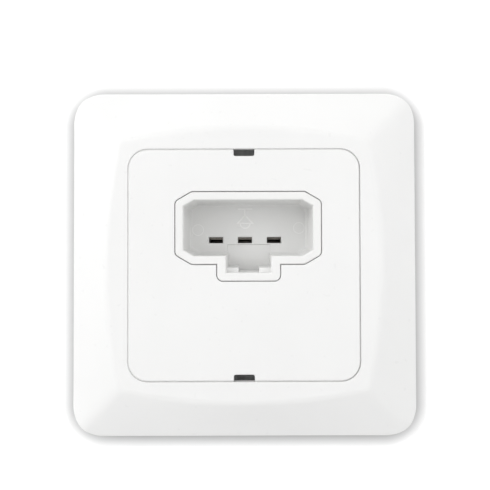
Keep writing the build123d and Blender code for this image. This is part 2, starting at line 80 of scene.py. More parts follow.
class NodeBoard:
    """Adds and joins the nodes of one material or one group."""

    def __init__(self, tree: bpy.types.NodeTree) -> None:
        """Empties the tree.

        Args:
            tree: The node tree to fill.
        """
        self.tree = tree
        tree.nodes.clear()

    def add(self, kind: str, inputs: Optional[dict] = None, **settings: object) -> bpy.types.Node:
        """Adds a node.

        Args:
            kind: The node's type, without ShaderNode before it.
            inputs: Socket name or index to a value, or to an output socket to join.
            settings: Properties of the node itself.

        Returns:
            The new node.
        """
        node = self.tree.nodes.new(kind if kind.startswith("NodeGroup") else "ShaderNode" + kind)
        for name, value in settings.items():
            setattr(node, name, value)
        for key, value in (inputs or {}).items():
            if isinstance(value, bpy.types.NodeSocket):
                self.tree.links.new(value, node.inputs[key])
            else:
                node.inputs[key].default_value = value
        node.location = (NODE_STEP * len(self.tree.nodes), 0)
        return node

    def math(self, operation: str, first: object, second: object) -> bpy.types.NodeSocket:
        """Adds a Math node and returns its value."""
        return self.add("Math", {0: first, 1: second}, operation=operation).outputs[0]

    def scaled(self, colour: object, factor: object) -> bpy.types.NodeSocket:
        """Multiplies a colour by a factor and returns the result."""
        return self.add("VectorMath", {0: colour, "Scale": factor}, operation="SCALE").outputs[0]

    def span(self, value: object, low: float, high: float, start: object,
             end: object) -> bpy.types.NodeSocket:
        """Maps a value from one range to another, held at the ends, and returns it."""
        inputs = {"Value": value, "From Min": low, "From Max": high, "To Min": start, "To Max": end}
        return self.add("MapRange", inputs).outputs[0]

    def noise(self, place: object, scale: object, detail: float) -> bpy.types.NodeSocket:
        """Adds a noise texture and returns its factor."""
        return self.add("TexNoise", {"Vector": place, "Scale": scale, "Detail": detail}).outputs["Fac"]

    def give(self, result: bpy.types.Node, values: dict) -> None:
        """Joins values to the inputs of a node by name."""
        for name, value in values.items():
            self.tree.links.new(value, result.inputs[name])


@dataclass(frozen=True)
class Way:
    """One named input or output of an effect."""

    name: str
    kind: str = "NodeSocketFloat"
    start: Optional[object] = None


PLACE = Way("Place", "NodeSocketVector")
TONE = Way("Colour", "NodeSocketColor", (0.8, 0.8, 0.8, 1.0))


class Effects:
    """The surface effects that several finishes share, each a node group that is built once.

    Noise hardly leaves the span NOISE_LOW to NOISE_HIGH. MIDDLE_LOW to MIDDLE_HIGH gives more contrast.
    Scales are counts per metre.
    """

    NOISE_LOW = 0.3
    NOISE_HIGH = 0.7
    MIDDLE_LOW = 0.35
    MIDDLE_HIGH = 0.65
    DRIFT_SCALE = 38.0
    SPECK_SCALE = 900.0
    SPECK_FROM = 0.79
    SPECK_FULL = 0.85
    SPECK_TONE = 0.97
    SMOOTHER = 0.88
    CLOUD_SCALE = 260.0
    CLOUD_SHARE = 0.35
    ROUGHER = 1.5
    PATCH_SCALE = 700.0
    PATCH_LEAST = 0.35
    EDGE_FULL = 0.86
    EDGE_NONE = 0.995

    def __init__(self) -> None:
        """Builds every group."""
        self.grain = self._moulded_grain()
        self.streaks = self._rolled_streaks()
        self.wear_and_highlight = self._edge_wear_and_highlight()

    @staticmethod
    def _start(name: str, inputs: Sequence[Way], outputs: Sequence[Way]) -> tuple:
        """Starts a group.

        Args:
            name: The group's name.
            inputs: Its input sockets.
            outputs: Its output sockets.

        Returns:
            A board on the group's tree, the inputs by name, and the node that takes the outputs.
        """
        tree = bpy.data.node_groups.new(name, "ShaderNodeTree")
        for ways, direction in ((inputs, "INPUT"), (outputs, "OUTPUT")):
            for way in ways:
                socket = tree.interface.new_socket(name=way.name, in_out=direction, socket_type=way.kind)
                if way.start is not None:
                    socket.default_value = way.start
        board = NodeBoard(tree)
        return board, board.add("NodeGroupInput").outputs, board.add("NodeGroupOutput")

    def _moulded_grain(self) -> bpy.types.NodeTree:
        """Fine grain, slow drift of tone and a few specks, as on moulded plastic.

        Returns:
            The group, which puts out a colour, a height and a roughness.
        """
        board, given, result = self._start(
            "moulded_grain",
            [PLACE, TONE, Way("Grain Scale", start=3000.0), Way("Drift", start=0.02),
             Way("Roughness", start=0.4)],
            [TONE, Way("Height"), Way("Roughness")],
        )
        fine = board.noise(given["Place"], given["Grain Scale"], detail=3.0)
        slow = board.noise(given["Place"], self.DRIFT_SCALE, detail=2.0)
        speck = board.noise(given["Place"], self.SPECK_SCALE, detail=0.0)
        darkest = board.math("SUBTRACT", 1.0, given["Drift"])
        drift = board.span(slow, self.NOISE_LOW, self.NOISE_HIGH, darkest, 1.0)
        specks = board.span(speck, self.SPECK_FROM, self.SPECK_FULL, 1.0, self.SPECK_TONE)
        smoother = board.math("MULTIPLY", given["Roughness"], self.SMOOTHER)
        board.give(result, {
            "Colour": board.scaled(given["Colour"], board.math("MULTIPLY", drift, specks)),
            "Height": fine,
            "Roughness": board.span(slow, self.NOISE_LOW, self.NOISE_HIGH, smoother, given["Roughness"]),
        })
        return board.tree

    def _rolled_streaks(self) -> bpy.types.NodeTree:
        """Streaks along the way that a strip was rolled or a screw was turned.

        Returns:
            The group, which puts out a colour, a height and a roughness.
        """
        board, given, result = self._start(
            "rolled_streaks",
            [PLACE, TONE, Way("Stretch", "NodeSocketVector", (1.0, 1.0, 1.0)), Way("Streak", start=0.15),
             Way("Roughness", start=0.3)],
            [TONE, Way("Height"), Way("Roughness")],
        )
        stretched = board.add("VectorMath", {0: given["Place"], 1: given["Stretch"]}, operation="MULTIPLY")
        lines = board.noise(stretched.outputs[0], 1.0, detail=4.0)
        cloud = board.noise(given["Place"], self.CLOUD_SCALE, detail=3.0)
        streak_part = board.math("MULTIPLY", lines, 1.0 - self.CLOUD_SHARE)
        cloud_part = board.math("MULTIPLY", cloud, self.CLOUD_SHARE)
        both = board.math("ADD", streak_part, cloud_part)
        darkest = board.math("SUBTRACT", 1.0, given["Streak"])
        rougher = board.math("MULTIPLY", given["Roughness"], self.ROUGHER)
        tone = board.span(both, self.MIDDLE_LOW, self.MIDDLE_HIGH, darkest, 1.0)
        board.give(result, {
            "Colour": board.scaled(given["Colour"], tone),
            "Height": lines,
            "Roughness": board.span(both, self.MIDDLE_LOW, self.MIDDLE_HIGH, rougher, given["Roughness"]),
        })
        return board.tree

    def _edge_wear_and_highlight(self) -> bpy.types.NodeTree:
        """Edges turned to another tone, as rubbed metal on the metals and as a painted highlight on the
        plastics, and a soft turn of the light round them.

        Returns:
            The group, which puts out a colour and a rounded normal.
        """
        board, given, result = self._start(
            "edge_wear_and_highlight",
            [PLACE, TONE, Way("Wear And Highlight", "NodeSocketColor", (0.9, 0.9, 0.9, 1.0)),
             Way("Radius", start=0.15 * MM), Way("Amount", start=0.5)],
            [TONE, Way("Normal", "NodeSocketVector")],
        )
        turned = board.add("Bevel", {"Radius": given["Radius"]}, samples=4).outputs[0]
        flat = board.add("NewGeometry").outputs["Normal"]
        level = board.add("VectorMath", {0: turned, 1: flat}, operation="DOT_PRODUCT").outputs["Value"]
        patches = board.noise(given["Place"], self.PATCH_SCALE, detail=3.0)
        patchy = board.span(patches, self.MIDDLE_LOW, self.MIDDLE_HIGH, self.PATCH_LEAST, 1.0)
        # Other tone where the bevelled normal turns away from the face: rubbed wear on metal, a painted
        # highlight on plastic.
        turn = board.span(level, self.EDGE_FULL, self.EDGE_NONE, 1.0, 0.0)
        edge = board.math("MULTIPLY", turn, patchy)
        mask = board.math("MULTIPLY", edge, given["Amount"])
        tones = {"Factor": mask, MIX_FIRST: given["Colour"], MIX_SECOND: given["Wear And Highlight"]}
        mixed = board.add("Mix", tones, data_type="RGBA")
        board.give(result, {"Colour": mixed.outputs[MIX_RESULT], "Normal": turned})
        return board.tree


def as_socket_colour(colour: Colour) -> tuple[float, float, float, float]:
    """Adds the fourth number that a colour socket takes."""
    return (*colour, 1.0)


@dataclass(frozen=True)
class MouldedPlastic:
    """Moulded plastic with a fine grain and a painted highlight along its edges."""

    name: str
    colour: Colour
    roughness: float = 0.4
    grain_scale: float = 2600.0
    grain_depth: float = 0.02
    drift: float = 0.02
    edge_radius: float = 0.12 * MM
    edge_highlight_tone: Colour = (0.9, 0.9, 0.89)
    edge_amount: float = 0.25
    specular: float = 0.45
    relief: float = 0.35

    def material(self, effects: Effects) -> bpy.types.Material:
        """Builds the material.

        Args:
            effects: The shared surface effects.

        Returns:
            The material.
        """
        made = bpy.data.materials.new(self.name)
        made.use_nodes = True
        board = NodeBoard(made.node_tree)
        place = board.add("TexCoord").outputs["Object"]
        grain = board.add("Group", node_tree=effects.grain)
        wear_and_highlight = board.add("Group", node_tree=effects.wear_and_highlight)
        board.give(grain, {"Place": place})
        grain.inputs["Colour"].default_value = as_socket_colour(self.colour)
        grain.inputs["Grain Scale"].default_value = self.grain_scale
        grain.inputs["Drift"].default_value = self.drift
        grain.inputs["Roughness"].default_value = self.roughness
        board.give(wear_and_highlight, {"Place": place, "Colour": grain.outputs["Colour"]})
        # A lighter tone at the edges: a painted highlight.
        wear_and_highlight.inputs["Wear And Highlight"].default_value = as_socket_colour(self.edge_highlight_tone)
        wear_and_highlight.inputs["Radius"].default_value = self.edge_radius
        wear_and_highlight.inputs["Amount"].default_value = self.edge_amount
        bump = board.add("Bump", {"Strength": self.relief, "Distance": self.grain_depth * MM,
                                  "Height": grain.outputs["Height"], "Normal": wear_and_highlight.outputs["Normal"]})
        shader = board.add("BsdfPrincipled", {
            "Base Color": wear_and_highlight.outputs["Colour"], "Roughness": grain.outputs["Roughness"],
            "Normal": bump.outputs["Normal"], "Specular IOR Level": self.specular,
        })
        board.add("OutputMaterial", {"Surface": shader.outputs[0]})
        return made


@dataclass(frozen=True)
class Metal:
    """Rolled or turned metal with streaks, rubbed edges and, on zinc, crystals."""

    name: str
    colour: Colour
    rubbed: Colour
    roughness: float = 0.3
    stretch: tuple[float, float, float] = (60.0, 900.0, 900.0)
    streak: float = 0.2
    streak_depth: float = 0.006
    edge_radius: float = 0.1 * MM
    edge_amount: float = 0.6
    crystals: float = 0.0
    crystal_scale: float = 420.0
    crystal_rough: float = 0.12
    relief: float = 0.4

    def material(self, effects: Effects) -> bpy.types.Material:
        """Builds the material.

        Args:
            effects: The shared surface effects.

        Returns:
            The material.
        """
        made = bpy.data.materials.new(self.name)
        made.use_nodes = True
        board = NodeBoard(made.node_tree)
        place = board.add("TexCoord").outputs["Object"]
        streaks = board.add("Group", node_tree=effects.streaks)
        wear_and_highlight = board.add("Group", node_tree=effects.wear_and_highlight)
        board.give(streaks, {"Place": place})
        streaks.inputs["Colour"].default_value = as_socket_colour(self.colour)
        streaks.inputs["Stretch"].default_value = self.stretch
        streaks.inputs["Streak"].default_value = self.streak
        streaks.inputs["Roughness"].default_value = self.roughness
        tone = streaks.outputs["Colour"]
        rough = streaks.outputs["Roughness"]
        if self.crystals:
            cells = board.add("TexVoronoi", {"Vector": place, "Scale": self.crystal_scale})
            shade = board.add("SeparateColor", {"Color": cells.outputs["Color"]}).outputs[0]
            tone = board.scaled(tone, board.span(shade, 0.0, 1.0, 1.0 - self.crystals, 1.0))
            rough = board.math("ADD", rough, board.math("MULTIPLY", shade, self.crystal_rough))
        board.give(wear_and_highlight, {"Place": place, "Colour": tone})
        wear_and_highlight.inputs["Wear And Highlight"].default_value = as_socket_colour(self.rubbed)
        wear_and_highlight.inputs["Radius"].default_value = self.edge_radius
        wear_and_highlight.inputs["Amount"].default_value = self.edge_amount
        bump = board.add("Bump", {"Strength": self.relief, "Distance": self.streak_depth * MM,
                                  "Height": streaks.outputs["Height"], "Normal": wear_and_highlight.outputs["Normal"]})
        shader = board.add("BsdfPrincipled", {"Base Color": wear_and_highlight.outputs["Colour"], "Roughness": rough,
                                              "Normal": bump.outputs["Normal"], "Metallic": 1.0})
        board.add("OutputMaterial", {"Surface": shader.outputs[0]})
        return made


def as_object(name: str, shape: bmesh.types.BMesh,
              material: Optional[bpy.types.Material] = None) -> bpy.types.Object:
    """Turns a finished mesh into an object of the scene.

    Args:
        name: The object's name.
        shape: The mesh, which is used up.
        material: Its material, if it has one.

    Returns:
        The object.
    """
    mesh = bpy.data.meshes.new(name)
    shape.to_mesh(mesh)
    shape.free()
    if material is not None:
        mesh.materials.append(material)
    made = bpy.data.objects.new(name, mesh)
    bpy.context.scene.collection.objects.link(made)
    return made


class Finishes:
    """Every material: one for each of the record's material slots, and one lighter copy of the plastic for
    small moulded detail, whose extra lightness is painted light.
    """

    def __init__(self, effects: Effects) -> None:
        """Builds the materials.

        Args:
            effects: The shared surface effects.
        """
        kinds = [
            # Each plastic's lighter edge tone is a painted highlight along its edges.
            MouldedPlastic("white_plastic", (0.83, 0.83, 0.825), roughness=0.42, edge_radius=0.4 * MM,
                           edge_highlight_tone=(0.95, 0.95, 0.945), edge_amount=1.0),
            MouldedPlastic("insert_plastic", (0.82, 0.82, 0.81), roughness=0.38, grain_scale=3400.0,
                           edge_radius=0.3 * MM, edge_highlight_tone=(0.93, 0.93, 0.925), edge_amount=0.8),
            # Lighter than the plastics under it: painted light that lifts the raised marks and the gap round
            # the centre plate.
            MouldedPlastic("moulding_painted_lighter", (0.93, 0.93, 0.92), edge_radius=0.02 * MM, edge_amount=0.0),
            MouldedPlastic("base_plastic", (0.74, 0.73, 0.70), roughness=0.5, drift=0.05, grain_depth=0.04,
                           edge_amount=0.4),
            Metal("zinc_steel", (0.475, 0.475, 0.475), (0.745, 0.745, 0.745), roughness=0.34,
                  stretch=(900.0, 900.0, 70.0), crystals=0.22),
            Metal("plated_brass", (0.21, 0.195, 0.175), (0.52, 0.44, 0.3), roughness=0.3,
                  stretch=(1100.0, 60.0, 60.0)),
            Metal("spring_steel", (0.10, 0.10, 0.11), (0.34, 0.34, 0.35), roughness=0.3,
                  stretch=(1100.0, 60.0, 60.0)),
            Metal("cage_steel", (0.66, 0.67, 0.68), (0.84, 0.84, 0.84), roughness=0.3, crystals=0.1,
                  crystal_scale=1600.0),
            Metal("screw_steel", (0.68, 0.69, 0.70), (0.88, 0.88, 0.88), roughness=0.22,
                  stretch=(700.0, 700.0, 700.0), streak=0.28),
        ]
        self.materials = {kind.name: kind.material(effects) for kind in kinds}

    def dress(self, node: str, slot: str) -> None:
        """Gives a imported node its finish.

        Args:
            node: The node's name.
            slot: The material slot's name.
        """
        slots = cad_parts[node].data.materials
        slots.clear()
        slots.append(self.materials[slot])
        log.info("dressed %s in %s", node, slot)

    def add_piece(self, name: str, shape: bmesh.types.BMesh, slot: str, finish: str = "",
                  smooth_angle: float = 40.0) -> bpy.types.Object:
        """Makes an object of a finished mesh, dresses it and fixes it to the part.

        Args:
            name: The piece's name.
            shape: The mesh, which is used up.
            slot: The material slot's name.
            finish: The material's name, where it isn't the slot's.
            smooth_angle: Edges turned by less than this many degrees are smooth.

        Returns:
            The object.
        """
        bmesh.ops.recalc_face_normals(shape, faces=shape.faces)
        for face in shape.faces:
            face.smooth = True
        for edge in shape.edges:
            edge.smooth = len(edge.link_faces) == 2 and edge.calc_face_angle(0.0) < radians(smooth_angle)
        piece = as_object(name, shape, self.materials[finish or slot])
        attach(piece, "root")
        log.info("made %s, %d faces", name, len(piece.data.polygons))
        return piece


def loft_rings(shape: bmesh.types.BMesh, rings: Sequence[Sequence[Vector]]) -> list[list[bmesh.types.BMVert]]:
    """Joins closed rings of points into a tube, without end faces.

    Args:
        shape: The mesh to add to.
        rings: The rings, each with as many points.

    Returns:
        The new vertices, ring by ring.
    """
    made = [[shape.verts.new(point) for point in ring] for ring in rings]
    for ring, following in zip(made, made[1:]):
        for i in range(len(ring)):
            j = (i + 1) % len(ring)
            shape.faces.new((ring[i], ring[j], following[j], following[i]))
    return made


@dataclass
class RaisedLine:
    """A moulded line with a flat top and sloping sides, which stands a little out of a face."""

    path: list[Point]
    width: float
    height: float
    closed: bool = False
    slope: float = 0.3
    root: float = 0.02 * MM
    least_mitre: float = 0.4

    def _sides(self) -> list[tuple[Point, float]]:
        """The way to the left of each point of the path, and how far the mitre stretches it.

        Returns:
            A unit vector and a factor for each point.
        """
        count = len(self.path)
        found = []
        for i, point in enumerate(self.path):
            before = self.path[i - 1] if i or self.closed else None
            after = self.path[(i + 1) % count] if i < count - 1 or self.closed else None
            ways = []
            for start, end in ((before, point), (point, after)):
                if start is not None and end is not None:
                    length = hypot(end[0] - start[0], end[1] - start[1])
                    ways.append((-(end[1] - start[1]) / length, (end[0] - start[0]) / length))
            across = (sum(way[0] for way in ways), sum(way[1] for way in ways))
            size = hypot(*across)
            unit = (across[0] / size, across[1] / size)
            mitre = unit[0] * ways[0][0] + unit[1] * ways[0][1]
            found.append((unit, 1.0 / max(self.least_mitre, mitre)))
        return found

    def add_to(self, shape: bmesh.types.BMesh, depth: float, facing: Facing) -> None:
        """Adds the line to a mesh.

        Args:
            shape: The mesh to add to.
            depth: Y of the face that the line stands on.
            facing: Which way it stands out.
        """
        half = self.width / 2
        top = half * (1 - self.slope)
        foot_y = depth - facing.value * self.root
        top_y = depth + facing.value * self.height
        sections = []
        for (x, z), (side, stretch) in zip(self.path, self._sides()):
            section = []
            for offset, y in ((-half, foot_y), (-top, top_y), (top, top_y), (half, foot_y)):
                reach = offset * stretch
                section.append(shape.verts.new((x + side[0] * reach, y, z + side[1] * reach)))
            sections.append(section)
        pairs = list(zip(sections, sections[1:]))
        if self.closed:
            pairs.append((sections[-1], sections[0]))
        else:
            shape.faces.new(sections[0])
            shape.faces.new(sections[-1][::-1])
        for section, following in pairs:
            for i in range(len(section)):
                j = (i + 1) % len(section)
                shape.faces.new((section[i], following[i], following[j], section[j]))


def arc(centre: Point, radius: float, start: float, end: float, steps: int) -> list[Point]:
    """Points along an arc, with the angles in degrees from +X towards +Z."""
    angles = [radians(start + (end - start) * i / steps) for i in range(steps + 1)]
    return [(centre[0] + radius * cos(a), centre[1] + radius * sin(a)) for a in angles]


@dataclass
class CoverSet:
    """Cover frame and centre plate in the same white plastic, with the drafted flank of the plate.

    The plate sits a hair askew: seat_tilt is how much deeper its flank lies at the right and at the top.
    """

    nodes: tuple[str, str] = ("cover_frame", "centre_plate")
    plate_half: float = 27.65 * MM
    corner_r: float = 4.6 * MM
    notch_half: float = 2.6 * MM
    flank_top_y: float = -8.23 * MM
    flank_foot_y: float = -8.11 * MM
    seat_tilt: Point = (0.15 * MM, -0.06 * MM)
    flank_w: float = 0.18 * MM
    root: float = 0.05 * MM
    corner_steps: int = 8

    def _flank_path(self, side: int) -> list[tuple[Point, Point]]:
        """Half of the plate's outline, from one release notch to the other.

        Args:
            side: 1 for the right half, -1 for the left one.

        Returns:
            Pairs of a point and the way outwards there.
        """
        straight = self.plate_half - self.corner_r
        ways = [((self.notch_half, self.plate_half), (0.0, 1.0))]
        for corner_z, start in ((straight, 90), (-straight, 0)):
            for i in range(self.corner_steps + 1):
                angle = radians(start - 90 * i / self.corner_steps)
                way = (cos(angle), sin(angle))
                ways.append(((straight + self.corner_r * way[0], corner_z + self.corner_r * way[1]), way))
        ways.append(((self.notch_half, -self.plate_half), (0.0, -1.0)))
        return [((side * x, z), (side * way_x, way_z)) for (x, z), (way_x, way_z) in ways]

    def build(self, finishes: Finishes) -> None:
        """Dresses both mouldings and adds the flank.

        Args:
            finishes: The materials.
        """
        for node in self.nodes:
            finishes.dress(node, "white_plastic")
        top_y = self.flank_top_y
        foot_y = self.flank_foot_y
        corners = ((-self.root, top_y), (self.flank_w, foot_y), (-self.root, foot_y))
        for name, side in (("right", 1), ("left", -1)):
            shape = bmesh.new()
            sections = []
            for (x, z), way in self._flank_path(side):
                sunk = self.seat_tilt[0] * way[0] + self.seat_tilt[1] * way[1]
                places = [(x + out * way[0], y + sunk, z + out * way[1]) for out, y in corners]
                sections.append([shape.verts.new(place) for place in places])
            for section, following in zip(sections, sections[1:]):
                for i in range(len(section)):
                    j = (i + 1) % len(section)
                    shape.faces.new((section[i], section[j], following[j], following[i]))
            shape.faces.new(sections[0][::-1])
            shape.faces.new(sections[-1])
            # The flank is a lighter copy of the white plastic: painted light that brightens the gap round the
            # plate.
            finishes.add_piece(f"plate_flank_{name}", shape, "white_plastic", "moulding_painted_lighter")


@dataclass
class Housing:
    """Outlet housing, with the moulded marks on the floor of its recess."""

    floor_y: float = 4.0 * MM
    witness_r: float = 1.42 * MM
    witness_places: tuple[Point, Point] = ((-12.3 * MM, 8.6 * MM), (14.2 * MM, 9.1 * MM))
    witness_h: float = 0.03 * MM
    witness_w: float = 0.22 * MM
    witness_slope: float = 0.8
    mark_h: float = 0.09 * MM
    line_w: float = 0.36 * MM
    lamp_x: float = 0.05 * MM
    lamp_top: float = 14.1 * MM
    ceiling_half: float = 1.9 * MM
    stem_h: float = 2.0 * MM
    shade_half: float = 2.0 * MM
    shade_top_half: float = 0.35 * MM
    shade_h: float = 1.75 * MM
    bulb_r: float = 1.3 * MM
    bulb_steps: int = 20
    ring_steps: int = 40

    def lamp_lines(self) -> list[RaisedLine]:
        """Plain picture of a hanging lamp: ceiling, stem, shade and bulb.

        Returns:
            The raised lines.
        """
        stem_foot = self.lamp_top - self.stem_h
        shade_foot = stem_foot - self.shade_h
        ceiling = [
            (self.lamp_x - self.ceiling_half, self.lamp_top),
            (self.lamp_x + self.ceiling_half, self.lamp_top),
        ]
        stem = [(self.lamp_x, self.lamp_top), (self.lamp_x, stem_foot)]
        shade = [
            (self.lamp_x - self.shade_half, shade_foot),
            (self.lamp_x - self.shade_top_half, stem_foot),
            (self.lamp_x + self.shade_top_half, stem_foot),
            (self.lamp_x + self.shade_half, shade_foot),
        ]
        bulb = arc((self.lamp_x, shade_foot), self.bulb_r, 0, -180, self.bulb_steps)
        return [
            RaisedLine(ceiling, self.line_w, self.mark_h),
            RaisedLine(stem, self.line_w, self.mark_h),
            RaisedLine(shade, self.line_w, self.mark_h, closed=True),
            RaisedLine(bulb, self.line_w, self.mark_h),
        ]

    def build(self, finishes: Finishes) -> None:
        """Dresses the housing and adds its marks.

        Args:
            finishes: The materials.
        """
        finishes.dress("outlet_housing", "insert_plastic")
        shape = bmesh.new()
        for line in self.lamp_lines():
            line.add_to(shape, self.floor_y, Facing.ROOM)
        # The marks are a lighter copy of the insert plastic: painted light that lifts them off the recess
        # floor.
        finishes.add_piece("recess_lamp_mark", shape, "insert_plastic", "moulding_painted_lighter")
        for name, centre in zip(("left", "right"), self.witness_places):
            shape = bmesh.new()
            ring = arc(centre, self.witness_r, 0, 360, self.ring_steps)[:-1]
            line = RaisedLine(ring, self.witness_w, self.witness_h, closed=True, slope=self.witness_slope)
            line.add_to(shape, self.floor_y, Facing.ROOM)
            # The rings take the same lighter copy: painted light that offsets the shade in their crevices.
            finishes.add_piece(f"ejector_witness_{name}", shape, "insert_plastic", "moulding_painted_lighter")


@dataclass
class SupportSheet:
    """Stamped steel sheet behind the cover frame."""

    node: str = "support_frame"

    def build(self, finishes: Finishes) -> None:
        """Dresses the sheet."""
        finishes.dress(self.node, "zinc_steel")


@dataclass
class Terminals:
    """Contact strips, springs and box clamps of the three ways."""

    slots: dict[str, str] = field(default_factory=lambda: {
        "contact": "plated_brass", "contact_spring": "spring_steel", "terminal_cage": "cage_steel"})

    def build(self, finishes: Finishes) -> None:
        """Dresses each piece of each way.

        Args:
            finishes: The materials.
        """
        for piece, slot in self.slots.items():
            for pole in Pole:
                finishes.dress(f"{piece}_{pole.value}", slot)


@dataclass
class TerminalBase:
    """Base that closes the housing, with a mark above each clamp."""

    plate_y: float = 8.5 * MM
    mark_z: float = 12.4 * MM
    mark_h: float = 0.25 * MM
    line_w: float = 0.42 * MM
    letter_h: float = 2.6 * MM
    letter_half: float = 0.8 * MM
    bar_halves: tuple[float, float, float] = (1.3 * MM, 0.85 * MM, 0.4 * MM)
    bar_step: float = 0.75 * MM

    def mark_paths(self, pole: Pole, x: float) -> list[list[Point]]:
        """Strokes of a clamp's mark, which reads the right way from behind.

        Args:
            pole: Which way the clamp serves.
            x: X of the clamp.

        Returns:
            The strokes.
        """
        low = self.mark_z - self.letter_h / 2
        high = self.mark_z + self.letter_h / 2
        first = x + self.letter_half
        last = x - self.letter_half
        if pole is Pole.LIVE:
            return [[(first, high), (first, low), (last, low)]]
        if pole is Pole.NEUTRAL:
            return [[(first, low), (first, high), (last, low), (last, high)]]
        strokes = [[(x, high), (x, self.mark_z)]]
        for i, half in enumerate(self.bar_halves):
            bar_z = self.mark_z - i * self.bar_step
            strokes.append([(x - half, bar_z), (x + half, bar_z)])
        return strokes

    def build(self, finishes: Finishes) -> None:
        """Dresses the base and adds a mark for each way.

        Args:
            finishes: The materials.
        """
        finishes.dress("terminal_base", "base_plastic")
        for pole in Pole:
            low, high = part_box(f"terminal_screw_{pole.value}")
            shape = bmesh.new()
            for path in self.mark_paths(pole, (low.x + high.x) / 2):
                RaisedLine(path, self.line_w, self.mark_h).add_to(shape, self.plate_y, Facing.WALL)
            finishes.add_piece(f"pole_mark_{pole.value}", shape, "base_plastic")


@dataclass
class Screw:
    """Round-head screw with a cross recess and a turned thread, along Y."""

    node: str
    shank_r: float
    pitch: float
    head_h: float = 1.5 * MM
    thread_share: float = 0.2
    plain_share: float = 0.12
    sides: int = 40
    rows_per_turn: int = 8
    crown_rise: float = 0.45 * MM
    crown_steps: int = 8
    head_edge: float = 0.15 * MM
    head_edge_in: float = 0.12 * MM
    ridge_half: float = 0.42
    ridge_gain: float = 1.25
    recess_reach: float = 1.75 * MM
    recess_w: float = 0.85 * MM
    recess_depth: float = 0.95 * MM
    recess_over: float = 0.1 * MM
    recess_mouth: float = 1.12
    recess_foot: float = 0.55
    x: float = field(init=False)
    z: float = field(init=False)
    head_r: float = field(init=False)
    way: int = field(init=False)
    crown_y: float = field(init=False)
    length: float = field(init=False)

    def __post_init__(self) -> None:
        """Reads the screw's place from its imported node."""
        low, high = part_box(self.node)
        self.x = (low.x + high.x) / 2
        self.z = (low.z + high.z) / 2
        self.head_r = (high.x - low.x) / 2
        head_in_front = self.node.startswith("flange")
        self.way = 1 if head_in_front else -1
        self.crown_y = low.y if head_in_front else high.y
        self.length = high.y - low.y

    def _radius(self, along: float, turn: float) -> float:
        """Radius of the shank.

        Args:
            along: Distance from the crown.
            turn: Angle round the screw, as a share of a turn.

        Returns:
            The radius there.
        """
        root_r = self.shank_r * (1 - self.thread_share)
        past_head = along - self.head_h
        to_tip = self.length - along
        if past_head < self.plain_share * self.length:
            return root_r
        phase = (along / self.pitch - turn) % 1.0
        ridge = max(0.0, 1.0 - abs(phase - 0.5) / self.ridge_half)
        fade = min(1.0, to_tip / self.pitch)
        return root_r + (self.shank_r - root_r) * min(1.0, self.ridge_gain * ridge) * fade

    def _ring(self, along: float, plain_r: Optional[float]) -> list[Vector]:
        """One ring of points round the screw.

        Args:
            along: Distance from the crown.
            plain_r: The ring's radius, or None for the threaded shank.

        Returns:
            The points.
        """
        points = []
        for i in range(self.sides):
            turn = i / self.sides
            radius = self._radius(along, turn) if plain_r is None else plain_r
            angle = 2 * pi * turn * self.way
            points.append(Vector((self.x + radius * cos(angle), self.crown_y + self.way * along,
                                  self.z + radius * sin(angle))))
        return points

    def blank(self) -> bmesh.types.BMesh:
        """Head and threaded shank, before the recess is cut.

        Returns:
            The closed mesh.
        """
        shape = bmesh.new()
        rings = []
        for i in range(1, self.crown_steps + 1):
            swing = radians(90) * i / self.crown_steps
            rings.append(self._ring(self.crown_rise * (1 - cos(swing)), self.head_r * sin(swing)))
        rings.append(self._ring(self.head_h - self.head_edge, self.head_r))
        rings.append(self._ring(self.head_h, self.head_r - self.head_edge_in))
        rows = int((self.length - self.head_h) / self.pitch * self.rows_per_turn)
        for i in range(rows + 1):
            rings.append(self._ring(self.head_h + (self.length - self.head_h) * i / rows, None))
        made = loft_rings(shape, rings)
        shape.faces.new(made[0][::-1])
        shape.faces.new(made[-1])
        return shape

    def recess_cutter(self, turn: float) -> bpy.types.Object:
        """Tapered blade that cuts one bar of the cross.

        Args:
            turn: Angle of the bar in degrees.

        Returns:
            The cutter, as an object.
        """
        shape = bmesh.new()
        rings = []
        angle = radians(turn)
        for share, along in ((self.recess_mouth, -self.recess_over), (self.recess_foot, self.recess_depth)):
            ring = []
            for end, side in ((-1, -1), (1, -1), (1, 1), (-1, 1)):
                u = end * self.recess_reach * share
                v = side * self.recess_w / 2 * (0.5 + share / 2)
                ring.append(Vector((self.x + u * cos(angle) - v * sin(angle), self.crown_y + self.way * along,
                                    self.z + u * sin(angle) + v * cos(angle))))
            rings.append(ring)
        made = loft_rings(shape, rings)
        shape.faces.new(made[0][::-1])
        shape.faces.new(made[-1])
        bmesh.ops.recalc_face_normals(shape, faces=shape.faces)
        return as_object("cutter", shape)

    def build(self, finishes: Finishes) -> None:
        """Makes the screw and lets it stand for its node.

        Args:
            finishes: The materials.
        """
        blank = self.blank()
        bmesh.ops.recalc_face_normals(blank, faces=blank.faces)
        body = as_object("blank", blank)
        cutters = [self.recess_cutter(turn) for turn in (0, 90)]
        for cutter in cutters:
            cut = body.modifiers.new("recess", "BOOLEAN")
            cut.operation = "DIFFERENCE"
            cut.solver = "EXACT"
            cut.object = cutter
        bpy.context.view_layer.update()
        shaped = bmesh.new()
        shaped.from_object(body, bpy.context.evaluated_depsgraph_get())
        for spare in (body, *cutters):
            bpy.data.objects.remove(spare)
        name = self.node.replace("_screw", "_threaded_screw")
        piece = finishes.add_piece(name, shaped, "screw_steel", smooth_angle=50.0)
        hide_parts(self.node)


